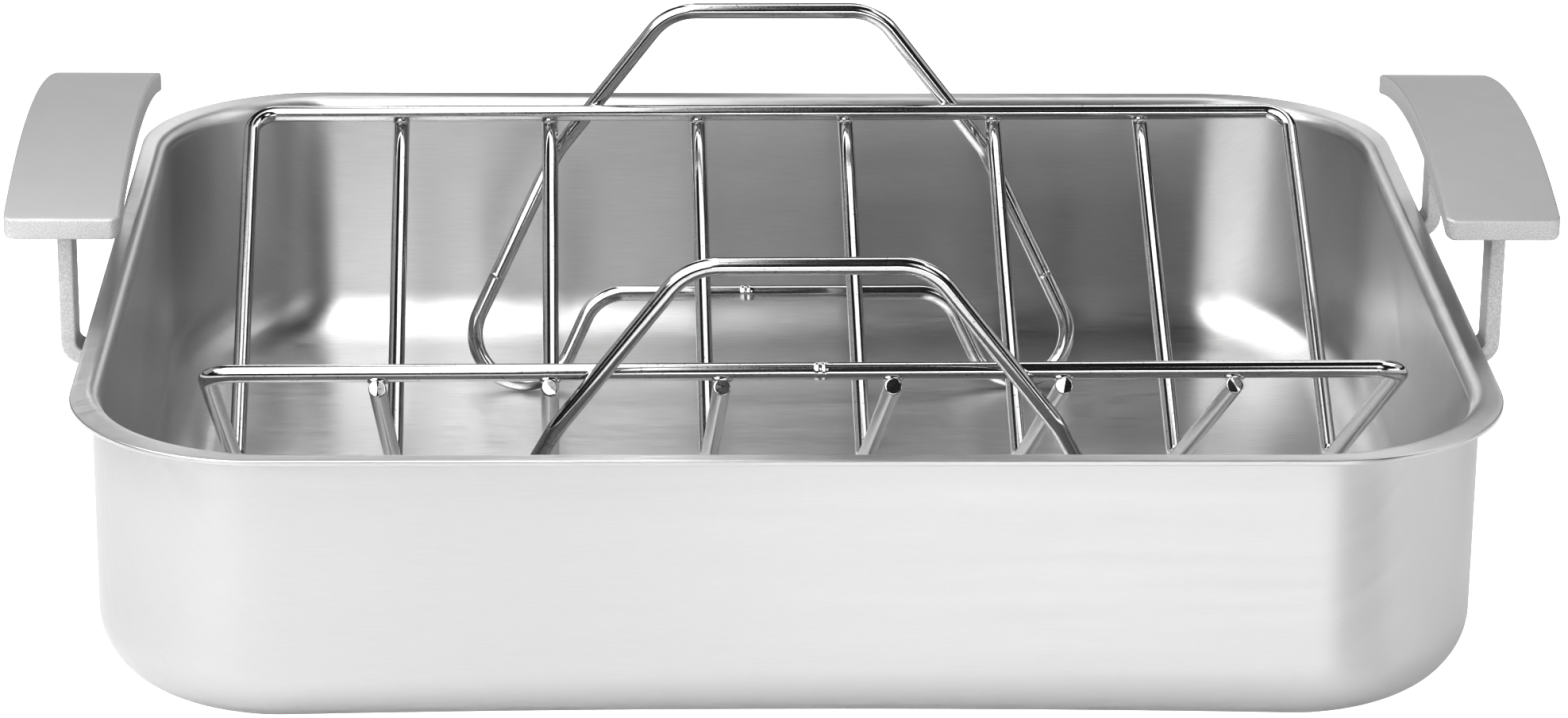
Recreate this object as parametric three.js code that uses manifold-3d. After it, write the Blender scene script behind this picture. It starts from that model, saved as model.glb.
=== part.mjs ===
// Roasting pan with a lift-out wire rack, in millimetres, +Z up.
// The origin lies under the middle of the pan, on the surface that it stands on.
import * as THREE from 'three';
import { mergeVertices } from 'three/addons/utils/BufferGeometryUtils.js';
import Module from 'manifold-3d';

const wasm = await Module();
wasm.setup();

// Pan
const rimLength = 400;
const rimWidth = 340;
const rimCorner = 55;
const panHeight = 83.6;
const wallThickness = 2.8;
const floorThickness = 3;
const baseRound = 20;
const flangeOverhang = 5.6;
const flangeFlat = 4;
const lipThickness = 1.6;
const lipRound = 0.4;
const underFlangeRound = 2;

// Pan handles
const gripLength = 145;
const gripWidth = 33;
const gripThickness = 5.9;
const gripArch = 10.5;
const gripLift = 35.9;
const gripTopEdge = 1.6;
const gripLowerEdge = 2.2;
const gripSideEdge = 0.9;
const postSpacing = 116;
const postWidth = 12;
const postThickness = 4.5;
const postEdge = 0.8;
const postRimGap = 3.4;
const footDrop = 6.5;
const footBend = 2.4;

// Rack
const wireDiameter = 5;
const rackLength = 333;
const rackWidth = 243;
const railLift = 88.7;
const frameDepth = 73.7;
const frameBend = 8;
const vertexBend = 7;
const crossWireCount = 6;
const crossWireOverhang = 2.2;
const frameWeldOffset = 4;
const rackShift = 3.2;
const rackTurn = 0.8;

// Rack leg loops, with carrying handle
const handleRise = 32.5;
const handleTopWidth = 66.4;
const handleRailWidth = 116.6;
const handleLean = 0.2;
const handleBend = 17;
const kinkDrop = 14.5;
const kinkBend = 14;
const footSpacing = 160.2;
const footRadius = 15.8;
const footInset = 17;
const barRise = 28.9;
const barWidth = 113;
const barBend = 13.5;
const loopWeldOffset = 8;

// Welds and clearances
const clearance = 0.3;
const weldSink = 0.3;
const buttWeldLength = 3;
const buttWeldSwell = 0.25;
const buttWeldSeam = 0.4;

// Fineness of the round stretches
const cornerSteps = 12;
const roundSteps = 6;
const wireSides = 10;
const bendStep = Math.PI / 12;

const steel = (color, roughness) => new THREE.MeshStandardMaterial({ color, roughness, metalness: 1 });

// Solids and booleans
function toSolid(geometry) {
  const bare = geometry.clone();
  bare.deleteAttribute('normal');
  bare.deleteAttribute('uv');
  const merged = mergeVertices(bare, 1e-4);
  return new wasm.Manifold(new wasm.Mesh({
    numProp: 3,
    vertProperties: new Float32Array(merged.attributes.position.array),
    triVerts: new Uint32Array(merged.index.array),
  }));
}

function toGeometry(solid) {
  const mesh = solid.getMesh();
  const geometry = new THREE.BufferGeometry();
  geometry.setAttribute('position', new THREE.BufferAttribute(new Float32Array(mesh.vertProperties), 3));
  geometry.setIndex(new THREE.BufferAttribute(new Uint32Array(mesh.triVerts), 1));
  geometry.computeVertexNormals();
  return geometry;
}

// Pan: rounded-rectangle rings, each set in from the rim's edge, carried along the drawn wall's profile
function panRing(inset, height) {
  const x = rimLength / 2 - inset;
  const y = rimWidth / 2 - inset;
  const corner = rimCorner - Math.max(0, inset - flangeOverhang);
  const ring = [];
  const cornerX = x - corner;
  const cornerY = y - corner;
  const centres = [[cornerX, cornerY], [-cornerX, cornerY], [-cornerX, -cornerY], [cornerX, -cornerY]];
  centres.forEach(([cx, cy], quarter) => {
    for (let i = 0; i <= cornerSteps; i += 1) {
      const angle = (quarter + i / cornerSteps) * Math.PI / 2;
      ring.push(new THREE.Vector3(cx + corner * Math.cos(angle), cy + corner * Math.sin(angle), height));
    }
  });
  return ring;
}

function panProfile() {
  const inner = flangeOverhang + wallThickness;
  const innerRound = baseRound - wallThickness;
  const shoulder = inner - flangeFlat;
  const lipBottom = panHeight - lipThickness;
  const profile = [];
  const arc = (cx, cz, radius, from, to, steps) => {
    for (let i = 0; i <= steps; i += 1) {
      const angle = THREE.MathUtils.degToRad(from + (to - from) * i / steps);
      profile.push([cx + radius * Math.cos(angle), cz + radius * Math.sin(angle)]);
    }
  };
  arc(flangeOverhang + baseRound, baseRound, baseRound, 270, 180, roundSteps);
  arc(flangeOverhang - underFlangeRound, lipBottom - underFlangeRound, underFlangeRound, 0, 90, 3);
  arc(lipRound, lipBottom + lipRound, lipRound, 270, 180, 1);
  arc(lipRound, panHeight - lipRound, lipRound, 180, 90, 1);
  arc(flangeFlat, panHeight - shoulder, shoulder, 90, 0, roundSteps);
  arc(inner + innerRound, floorThickness + innerRound, innerRound, 180, 270, roundSteps);
  return profile;
}

function panGeometry() {
  const rings = panProfile().map(([inset, height]) => panRing(inset, height));
  const count = rings[0].length;
  const points = rings.flat();
  const index = [];
  for (let r = 0; r + 1 < rings.length; r += 1) {
    for (let i = 0; i < count; i += 1) {
      const a = r * count + i;
      const b = r * count + (i + 1) % count;
      index.push(a, b, b + count, a, b + count, a + count);
    }
  }
  const lastRing = (rings.length - 1) * count;
  for (let i = 1; i + 1 < count; i += 1) {
    index.push(0, i + 1, i);
    index.push(lastRing, lastRing + i, lastRing + i + 1);
  }
  const geometry = new THREE.BufferGeometry().setFromPoints(points);
  geometry.setIndex(index);
  geometry.computeVertexNormals();
  return geometry;
}

// Pan handle: an arched flat grip with upright ends
const archRadius = (gripLength * gripLength / 4 + gripArch * gripArch) / (2 * gripArch);
const archHalfAngle = Math.asin(gripLength / 2 / archRadius);
const gripEndHeight = panHeight + gripLift;
const archCentre = gripEndHeight - archRadius * Math.cos(archHalfAngle);
const postInner = rimLength / 2 + postRimGap;
const postCentre = postInner + postThickness / 2;

const archHeight = (radius, y) => archCentre + Math.sqrt(radius * radius - y * y);

function gripGeometry() {
  const lower = archRadius - gripThickness;
  const sideEdge = Math.min(gripSideEdge, 0.6 * gripTopEdge, 0.6 * gripLowerEdge);
  const end = gripLength / 2;
  const lowerEndHeight = archHeight(lower, end);
  const topTurn = Math.asin((end - gripTopEdge) / archRadius);
  const lowerTurn = Math.asin((end - gripLowerEdge) / lower);
  const upright = Math.PI / 2;
  const shape = new THREE.Shape();
  shape.moveTo(end - gripTopEdge, archHeight(archRadius, end - gripTopEdge));
  shape.absarc(0, archCentre, archRadius, upright - topTurn, upright + topTurn, false);
  shape.quadraticCurveTo(-end, gripEndHeight, -end, gripEndHeight - gripTopEdge);
  shape.lineTo(-end, lowerEndHeight + gripLowerEdge);
  shape.quadraticCurveTo(-end, lowerEndHeight, gripLowerEdge - end, archHeight(lower, end - gripLowerEdge));
  shape.absarc(0, archCentre, lower, upright + lowerTurn, upright - lowerTurn, true);
  shape.quadraticCurveTo(end, lowerEndHeight, end, lowerEndHeight + gripLowerEdge);
  shape.lineTo(end, gripEndHeight - gripTopEdge);
  shape.quadraticCurveTo(end, gripEndHeight, end - gripTopEdge, archHeight(archRadius, end - gripTopEdge));
  const geometry = new THREE.ExtrudeGeometry(shape, {
    depth: gripWidth - 2 * sideEdge,
    curveSegments: roundSteps,
    bevelEnabled: true,
    bevelSize: sideEdge,
    bevelOffset: -sideEdge,
    bevelThickness: sideEdge,
    bevelSegments: 2,
  });
  const toFrame = new THREE.Matrix4().makeBasis(
    new THREE.Vector3(0, 1, 0),
    new THREE.Vector3(0, 0, 1),
    new THREE.Vector3(1, 0, 0),
  );
  geometry.applyMatrix4(toFrame);
  geometry.translate(postCentre - gripWidth / 2 + sideEdge, 0, 0);
  return geometry;
}

// Pan handle: a flat post, turned in at its foot to meet the wall under the rim
function postGeometry(side) {
  const postNear = postSpacing / 2 - postWidth / 2;
  const postFar = postSpacing / 2 + postWidth / 2;
  const top = (archHeight(archRadius - gripThickness, postNear) + archHeight(archRadius, postFar)) / 2;
  const wallFace = rimLength / 2 - flangeOverhang + clearance;
  const footTop = panHeight - footDrop;
  const footBottom = footTop - postThickness;
  const postOuter = postInner + postThickness;
  const bendX = postInner - footBend;
  const bendZ = footTop + footBend;
  const shape = new THREE.Shape();
  shape.moveTo(postOuter, top);
  shape.lineTo(postInner, top);
  shape.lineTo(postInner, bendZ);
  shape.absarc(bendX, bendZ, footBend, 0, -Math.PI / 2, true);
  shape.lineTo(wallFace, footTop);
  shape.lineTo(wallFace, footBottom);
  shape.lineTo(bendX, footBottom);
  shape.absarc(bendX, bendZ, footBend + postThickness, -Math.PI / 2, 0, false);
  const geometry = new THREE.ExtrudeGeometry(shape, {
    depth: postWidth - 2 * postEdge,
    curveSegments: 4,
    bevelEnabled: true,
    bevelSize: postEdge,
    bevelOffset: -postEdge,
    bevelThickness: postEdge,
    bevelSegments: 2,
  });
  const toFrame = new THREE.Matrix4().makeBasis(
    new THREE.Vector3(1, 0, 0),
    new THREE.Vector3(0, 0, 1),
    new THREE.Vector3(0, -1, 0),
  );
  geometry.applyMatrix4(toFrame);
  geometry.translate(0, side * postSpacing / 2 + postWidth / 2 - postEdge, 0);
  return geometry;
}

function handleGeometry() {
  const grip = toSolid(gripGeometry());
  return toGeometry(grip.add(toSolid(postGeometry(-1))).add(toSolid(postGeometry(1))));
}

// Wire: a round section carried along a bent path
const wireRadius = wireDiameter / 2;

class WirePath extends THREE.Curve {
  constructor(points, tangents) {
    super();
    this.points = points;
    this.tangents = tangents;
  }

  getPoint(t, target = new THREE.Vector3()) {
    return target.copy(this.points[Math.round(t * (this.points.length - 1))]);
  }

  getPointAt(u, target = new THREE.Vector3()) {
    return this.getPoint(u, target);
  }

  getTangentAt(u, target = new THREE.Vector3()) {
    return target.copy(this.tangents[Math.round(u * (this.tangents.length - 1))]);
  }
}

// A path through straight runs; each inner corner is rounded by an arc that its runs have room for
function bentPath(corners, radii) {
  const runs = corners.slice(1).map((corner, i) => corner.clone().sub(corners[i]));
  const lengths = runs.map((run) => run.length());
  const directions = runs.map((run) => run.clone().normalize());
  const turns = corners.map((_, i) => {
    const inner = i > 0 && i < corners.length - 1;
    return inner ? directions[i - 1].angleTo(directions[i]) : 0;
  });
  const setbacks = turns.map((turn, i) => radii[i] * Math.tan(turn / 2));
  const limited = setbacks.map((setback, i) => {
    const before = i > 0 ? lengths[i - 1] / (setbacks[i - 1] + setback || 1) : 1;
    const after = i < lengths.length ? lengths[i] / (setbacks[i + 1] + setback || 1) : 1;
    return setback * Math.min(1, before, after);
  });
  const points = [corners[0].clone()];
  const tangents = [directions[0].clone()];
  for (let i = 1; i + 1 < corners.length; i += 1) {
    const into = directions[i - 1];
    const outOf = directions[i];
    const radius = limited[i] / Math.tan(turns[i] / 2);
    const start = corners[i].clone().addScaledVector(into, -limited[i]);
    const inward = outOf.clone().addScaledVector(into, -outOf.dot(into)).normalize();
    const steps = Math.max(2, Math.ceil(turns[i] / bendStep));
    for (let k = 0; k <= steps; k += 1) {
      const angle = turns[i] * k / steps;
      const point = start.clone();
      point.addScaledVector(into, radius * Math.sin(angle));
      point.addScaledVector(inward, radius * (1 - Math.cos(angle)));
      const tangent = into.clone().multiplyScalar(Math.cos(angle)).addScaledVector(inward, Math.sin(angle));
      if (point.distanceTo(points[points.length - 1]) > 0.01) {
        points.push(point);
        tangents.push(tangent);
      }
    }
  }
  points.push(corners[corners.length - 1].clone());
  tangents.push(directions[directions.length - 1].clone());
  return new WirePath(points, tangents);
}

function wireGeometry(path, radius) {
  const section = new THREE.Shape();
  for (let i = 0; i < wireSides; i += 1) {
    const angle = 2 * Math.PI * i / wireSides;
    const x = radius * Math.cos(angle);
    const y = radius * Math.sin(angle);
    if (i === 0) section.moveTo(x, y);
    else section.lineTo(x, y);
  }
  return new THREE.ExtrudeGeometry(section, { steps: path.points.length - 1, extrudePath: path });
}

// A closed wire starts and ends at a seam on a run along X, where a butt weld with a slight swell joins it
function closedWire(seam, corners, radii) {
  const start = seam.clone().setX(seam.x + buttWeldSeam / 2);
  const end = seam.clone().setX(seam.x - buttWeldSeam / 2);
  const path = bentPath([start, ...corners, end], [0, ...radii, 0]);
  const swollen = wireRadius + buttWeldSwell;
  const weld = new THREE.CylinderGeometry(swollen, swollen, buttWeldLength, wireSides);
  weld.rotateZ(Math.PI / 2);
  weld.translate(seam.x, seam.y, seam.z);
  return toSolid(wireGeometry(path, wireRadius)).add(toSolid(weld));
}

// Rack, on the pan's floor: rails, V-shaped ends and cross wires
const weldDistance = wireDiameter - weldSink;
const railSide = rackWidth / 2;
const vertexHeight = railLift - frameDepth;

function frameGeometry() {
  const end = rackLength / 2;
  const seam = new THREE.Vector3(frameWeldOffset, -railSide, railLift);
  const corners = [
    [end, -railSide, railLift],
    [end, 0, vertexHeight],
    [end, railSide, railLift],
    [-end, railSide, railLift],
    [-end, 0, vertexHeight],
    [-end, -railSide, railLift],
  ].map((corner) => new THREE.Vector3(...corner));
  const halfRadii = [frameBend, vertexBend, frameBend];
  return toGeometry(closedWire(seam, corners, [...halfRadii, ...halfRadii]));
}

// The room that a rail takes, with its clearance, out of a wire welded to it
function railRoom(side) {
  const run = [-1, 1].map((end) => new THREE.Vector3(end * rackLength / 2, side * railSide, railLift));
  return toSolid(wireGeometry(bentPath(run, [0, 0]), wireRadius + clearance));
}

const railRooms = [railRoom(-1), railRoom(1)];

// A cross wire passes under both rails at the weld's distance and stands a little proud of them
function crossWireGeometry(x) {
  const reach = Math.hypot(railSide, frameDepth);
  const slope = Math.atan2(frameDepth, railSide) - Math.asin(weldDistance / reach);
  const run = Math.sqrt(reach * reach - weldDistance * weldDistance) + crossWireOverhang;
  const end = new THREE.Vector2(run * Math.cos(slope), vertexHeight + run * Math.sin(slope));
  const path = bentPath([
    new THREE.Vector3(x, -end.x, end.y),
    new THREE.Vector3(x, 0, vertexHeight),
    new THREE.Vector3(x, end.x, end.y),
  ], [0, vertexBend, 0]);
  const wire = toSolid(wireGeometry(path, wireRadius));
  return toGeometry(wire.subtract(railRooms[0]).subtract(railRooms[1]));
}

// How far past a foot's middle a leg's line meets the floor line, where the foot's arc touches both
function footReach(sideways, height) {
  const tangent = Math.sqrt(sideways * sideways + height * height - 2 * height * footRadius);
  return height * footRadius / (tangent - sideways);
}

// Leg loop at the back: stiffening bar, feet, legs and carrying handle in one wire
function loopGeometry() {
  const lean = handleLean / handleRise;
  const flare = (handleRailWidth - handleTopWidth) / 2 / handleRise;
  const weldSide = railSide + weldDistance;
  const top = new THREE.Vector3(handleTopWidth / 2, weldSide + handleLean, railLift + handleRise);
  const kink = new THREE.Vector3(
    handleRailWidth / 2 + flare * kinkDrop,
    weldSide - lean * kinkDrop,
    railLift - kinkDrop,
  );
  const foot = new THREE.Vector3(footSpacing / 2, railSide - footInset, clearance + wireRadius);
  const legLength = Math.hypot(kink.y - foot.y, kink.z - foot.z);
  const bar = foot.clone().lerp(kink, barRise / legLength).setX(barWidth / 2);
  const outerFoot = foot.clone().setX(foot.x + footReach(foot.x - kink.x, legLength));
  const innerFoot = foot.clone().setX(foot.x - footReach(bar.x - foot.x, barRise));
  const half = [bar, innerFoot, outerFoot, kink, top];
  const mirrored = half.map((corner) => corner.clone().setX(-corner.x)).reverse();
  const seam = bar.clone().setX(-loopWeldOffset);
  const radii = [barBend, footRadius, footRadius, kinkBend, handleBend];
  const wire = closedWire(seam, [...half, ...mirrored], [...radii, ...radii.slice().reverse()]);
  return toGeometry(wire.subtract(railRooms[1]));
}

// Assembly
const roastingPan = new THREE.Group();

function addPiece(parent, name, geometry, material) {
  const mesh = new THREE.Mesh(geometry, material);
  mesh.name = name;
  parent.add(mesh);
  return mesh;
}

addPiece(roastingPan, 'pan', panGeometry(), steel(0xc6c6c6, 0.32));
addPiece(roastingPan, 'handle_right', handleGeometry(), steel(0xbdbdbc, 0.5));
addPiece(roastingPan, 'handle_left', handleGeometry(), steel(0xbdbdbc, 0.5)).rotation.z = Math.PI;

const rack = new THREE.Group();
rack.position.set(rackShift, 0, floorThickness);
rack.rotation.z = THREE.MathUtils.degToRad(rackTurn);
roastingPan.add(rack);

addPiece(rack, 'rack_frame', frameGeometry(), steel(0xd2d2d2, 0.12));
for (let i = 0; i < crossWireCount; i += 1) {
  const x = rackLength * ((i + 1) / (crossWireCount + 1) - 0.5);
  addPiece(rack, `cross_wire_${i + 1}`, crossWireGeometry(x), steel(0xd2d2d2, 0.12));
}
addPiece(rack, 'leg_loop_back', loopGeometry(), steel(0xd2d2d2, 0.12));
addPiece(rack, 'leg_loop_front', loopGeometry(), steel(0xd2d2d2, 0.12)).rotation.z = Math.PI;

export default roastingPan;
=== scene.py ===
"""Looks of a roasting pan with a lift-out wire rack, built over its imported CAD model.

The pan is drawn brushed steel, its two handles are bead-blasted castings, and the rack is welded from bright
plated wire. All lengths are in metres, +Z up, with the origin under the middle of the pan.
"""

import math

import bpy
import numpy as np
from bpy.props import FloatProperty, FloatVectorProperty, IntProperty, PointerProperty
from mathutils import Matrix, Vector


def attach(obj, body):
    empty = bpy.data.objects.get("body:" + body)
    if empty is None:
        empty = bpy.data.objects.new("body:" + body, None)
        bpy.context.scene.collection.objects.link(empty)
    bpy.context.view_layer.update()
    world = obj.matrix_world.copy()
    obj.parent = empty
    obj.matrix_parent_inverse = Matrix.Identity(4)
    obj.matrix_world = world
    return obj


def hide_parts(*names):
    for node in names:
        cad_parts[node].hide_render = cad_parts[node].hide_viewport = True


bl_info = {
    "name": "Roasting pan with rack",
    "version": (1, 0, 0),
    "blender": (4, 5, 0),
    "location": "View3D > Sidebar > Roasting pan",
    "description": "Builds a brushed roasting pan, its handles and its wire rack",
    "category": "Add Mesh",
}

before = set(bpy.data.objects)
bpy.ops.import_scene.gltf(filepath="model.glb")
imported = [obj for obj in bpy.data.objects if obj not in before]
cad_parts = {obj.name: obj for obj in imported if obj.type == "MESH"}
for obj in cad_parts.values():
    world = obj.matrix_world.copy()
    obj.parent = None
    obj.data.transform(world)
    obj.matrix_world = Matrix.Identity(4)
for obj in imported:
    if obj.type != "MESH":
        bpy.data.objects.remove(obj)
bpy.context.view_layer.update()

# Settings


def length(label, text, millimetres):
    """A length that the user may change; its default is given in millimetres."""
    return FloatProperty(name=label, description=text, default=millimetres / 1000, unit="LENGTH", precision=5)


def colour(label, owner, value):
    """The colour that something reflects."""
    text = "Colour of " + owner
    return FloatVectorProperty(name=label, description=text, default=value, subtype="COLOR", min=0, max=1)


def brightness(label, owner, value):
    """How bright a light or a part of the room looks, where 1 is white."""
    return FloatProperty(name=label, description="Brightness of " + owner, default=value, min=0)


class PanSettings(bpy.types.PropertyGroup):
    """Sizes and colour of the drawn pan"""

    rim_length: length("Rim length", "Rim from left to right", 400)
    rim_width: length("Rim width", "Rim from front to back", 340)
    rim_corner: length("Rim corner", "Corner radius of the rim seen from above", 55)
    height: length("Height", "Table to the top of the rim", 83.6)
    wall: length("Wall", "Thickness of the wall", 2.8)
    floor: length("Floor", "Thickness of the floor", 3)
    base_round: length("Base round", "Outer radius between floor and wall", 20)
    overhang: length("Overhang", "Rim out from the wall", 5.6)
    flat_band: length("Flat band", "Width of the flat band on the rim", 4)
    lip: length("Lip", "Thickness of the rim's edge", 1.6)
    lip_round: length("Lip round", "Radius along the rim's edge", 0.4)
    under_round: length("Under round", "Radius between the wall and the rim's underside", 2)
    base_bow: length("Base bow", "Lift of the base midway between its corners", 1.5)
    steel: colour("Steel", "the brushed steel", (0.63, 0.63, 0.63))


class HandleSettings(bpy.types.PropertyGroup):
    """Sizes and colour of the two cast handles"""

    grip_length: length("Grip length", "Grip from end to end", 145)
    grip_width: length("Grip width", "Grip across the hand", 33)
    grip_thickness: length("Grip thickness", "Thickness of the grip", 5.9)
    arch: length("Arch", "Rise of the grip's crest over its ends", 10.5)
    lift: length("Lift", "Grip ends above the rim", 35.9)
    end_round: length("End round", "Radius along the grip's end edges", 0.7)
    corner_round: length("Corner round", "Radius of the grip's corners, seen from above", 3)
    top_round: length("Top round", "Radius along the grip's upper side edges", 0.9)
    lower_round: length("Lower round", "Radius along the grip's lower side edges", 1.1)
    belly: length("Belly", "Extra thickness under the grip's middle", 1.2)
    post_spacing: length("Post spacing", "Distance between the two posts", 116)
    post_width: length("Post width", "Width of a post", 12)
    post_thickness: length("Post thickness", "Thickness of a post", 4.5)
    post_round: length("Post round", "Radius along a post's edges", 0.8)
    rim_gap: length("Rim gap", "Gap between the rim's edge and a post", 3.4)
    foot_drop: length("Foot drop", "Top of a post's foot below the rim", 6.5)
    foot_bend: length("Foot bend", "Inner radius of the bend in a post's foot", 2.4)
    foot_weld: length("Foot weld", "Hollow round of the weld on the pan's wall", 1.5)
    steel: colour("Blasted steel", "the bead-blasted steel", (0.47, 0.47, 0.47))


class RackSettings(bpy.types.PropertyGroup):
    """Sizes and colour of the wire rack"""

    wire: length("Wire", "Diameter of the wire", 5)
    rack_length: length("Rack length", "Between the middles of the end wires", 333)
    rack_width: length("Rack width", "Between the middles of the rails", 243)
    rail_lift: length("Rail lift", "Rails above the pan's floor", 88.7)
    depth: length("Depth", "Depth of the V under the rails", 73.7)
    frame_bend: length("Frame bend", "Radius of the frame's corners", 8)
    vertex_bend: length("Vertex bend", "Radius at the bottom of the V", 7)
    cross_wires: IntProperty(name="Cross wires", description="Number of them", default=6, min=1, max=12)
    wire_overhang: length("Overhang", "Cross wire past its rail", 2.2)
    frame_seam: length("Frame seam", "Frame's butt weld, right of the rack's middle", 4)
    weld_sink: length("Weld sink", "How far welded wires sink into each other", 0.3)
    seam_swell: length("Seam swell", "How far a butt weld stands proud", 0.25)
    shift: length("Shift", "Rack to the right of the pan's middle", 3.2)
    turn: FloatProperty(
        name="Turn", description="Turn of the rack in the pan", default=math.radians(0.8), subtype="ANGLE"
    )
    chrome: colour("Chrome", "the plated wire", (0.6, 0.6, 0.6))


class LoopSettings(bpy.types.PropertyGroup):
    """Sizes of the rack's two leg loops"""

    rise: length("Handle rise", "Carrying handle above its rail", 32.5)
    top_width: length("Handle top", "Width of the carrying handle at its top", 66.4)
    rail_width: length("Handle at rail", "Width of the carrying handle at the rail", 116.6)
    lean: length("Handle lean", "Outward lean of the carrying handle", 0.2)
    top_bend: length("Handle bend", "Radius at the carrying handle's top", 17)
    kink_drop: length("Kink drop", "Kink below the rail", 14.5)
    kink_bend: length("Kink bend", "Radius of the kink", 14)
    foot_spacing: length("Foot spacing", "Between the middles of the feet", 160.2)
    foot_radius: length("Foot radius", "Radius of a foot", 15.8)
    foot_inset: length("Foot inset", "Feet in from the rail", 17)
    bar_rise: length("Bar rise", "Stiffening bar up the leg from the feet", 28.9)
    bar_width: length("Bar width", "Width of the stiffening bar", 113)
    bar_bend: length("Bar bend", "Radius at the bar's ends", 13.5)
    clearance: length("Foot clearance", "Gap between a foot and the floor", 0.3)
    seam: length("Loop seam", "Loop's butt weld, from the middle of its bar", 8)
    mark_lift: length("Mark lift", "Bending tool's mark on a leg above the floor", 35.4)
    mark_depth: length("Mark depth", "Depth of the pressed part below the mark", 0.16)


class StageSettings(bpy.types.PropertyGroup):
    """Floor and light"""

    floor_colour: colour("Floor", "the floor", (0.9, 0.9, 0.9))
    floor_glow: brightness("Floor glow", "the floor's own light on the pan", 0.08)
    floor_white: brightness("Floor white", "the floor's own light in the picture", 0.9)
    key: brightness("Key light", "the soft lights overhead and in front on the left", 2.0)
    fill: brightness("Fill light", "the soft lights at the back and on the right", 1.3)
    front: brightness("Front", "the low pale strip in front", 4.0)
    room: brightness("Room", "the dark room all round", 0.02)


SETTINGS = {
    "roaster_pan": PanSettings,
    "roaster_handle": HandleSettings,
    "roaster_rack": RackSettings,
    "roaster_loop": LoopSettings,
    "roaster_stage": StageSettings,
}

# Surfaces

SHARP_ANGLE = math.radians(35)


def loop_faces(rows, points, closed=False):
    """Quads between rows of closed loops of points; closed also joins the last row to the first."""
    row = np.arange(rows if closed else rows - 1)[:, None]
    column = np.arange(points)[None, :]
    ahead = (column + 1) % points
    above = (row + 1) % rows
    corners = [row * points + column, row * points + ahead, above * points + ahead, above * points + column]
    return np.stack(corners, -1).reshape(-1, 4)


def end_faces(first, points, pole, facing):
    """Triangles from a loop to the pole that closes it; facing 1 looks along the rows, -1 against them."""
    loop = first + np.arange(points)
    around = [loop, np.roll(loop, -1)][::facing]
    return np.stack([*around, np.full(points, pole)], -1)


def closed_rows(rows, poles=None):
    """Rows of closed loops as one closed surface; its two poles, if not given, are the end loops' middles."""
    if poles is None:
        poles = rows[[0, -1]].mean(1)
    count, points = rows.shape[:2]
    last = count * points
    faces = [
        loop_faces(count, points),
        end_faces(0, points, last, -1),
        end_faces(last - points, points, last + 1, 1),
    ]
    return np.concatenate([rows.reshape(-1, 3), poles]), faces


def mesh_values(items, field, kind=np.int32, width=1):
    """One field of all items of a mesh as an array."""
    values = np.empty(len(items) * width, kind)
    items.foreach_get(field, values)
    return values


def add_object(name, data):
    """A new object in the scene."""
    thing = bpy.data.objects.new(name, data)
    bpy.context.scene.collection.objects.link(thing)
    return thing


def new_mesh(name, points, faces):
    """A mesh of points and groups of faces."""
    mesh = bpy.data.meshes.new(name)
    mesh.from_pydata(points.tolist(), [], [face for group in faces for face in group.tolist()])
    return mesh


def add_piece(name, points, faces, material, body, nodes, grain=None, sheet=None):
    """A closed smooth-shaded mesh that rides on a body and stands for CAD nodes.

    grain holds each point's place on a wire's section and along the wire. sheet holds its place on the flat
    sheet that it was drawn from, across and along the brushing.
    """
    mesh = new_mesh(name, points, faces)
    mesh.polygons.foreach_set("use_smooth", np.ones(len(mesh.polygons), bool))
    mesh.set_sharp_from_angle(angle=SHARP_ANGLE)
    if grain is not None:
        layer = mesh.attributes.new("grain", "FLOAT_VECTOR", "POINT")
        layer.data.foreach_set("vector", np.ascontiguousarray(grain, np.float32).ravel())
    if sheet is not None:
        uv = sheet[mesh_values(mesh.loops, "vertex_index")].astype(np.float32)
        mesh.uv_layers.new(name="sheet").data.foreach_set("uv", uv.ravel())
    if mesh.validate():
        raise ValueError(f"{name} has faulty faces")
    mesh.materials.append(material)
    piece = add_object(name, mesh)
    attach(piece, body)
    if nodes:
        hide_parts(*nodes)


def arc(centre, radius, start, stop, steps):
    """Points on a circle's arc in a plane, from one angle to another in degrees."""
    angle = np.radians(np.linspace(start, stop, steps + 1))
    return np.stack([centre[0] + radius * np.cos(angle), centre[1] + radius * np.sin(angle)], -1)


def distance_run(points):
    """How far along its path each point lies."""
    return np.concatenate([[0], np.cumsum(np.linalg.norm(np.diff(points, axis=0), axis=1))])


# Pan

# Steps in the parts of the section, round the rim and across the floor
BASE_STEPS = 16
SHOULDER_STEPS = 12
UNDER_STEPS = 6
LIP_STEPS = 3
WALL_STEPS = 7
BAND_STEPS = 3
CORNER_STEPS = 24
SIDE_STEPS = 20
FLOOR_STEPS = 12

# How many base rounds up the wall the bow reaches
BOW_REACH = 1.5


def straight(start, stop, steps):
    """The points between two ends of a line, without the ends."""
    return np.linspace(start, stop, steps + 1)[1:-1]


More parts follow.
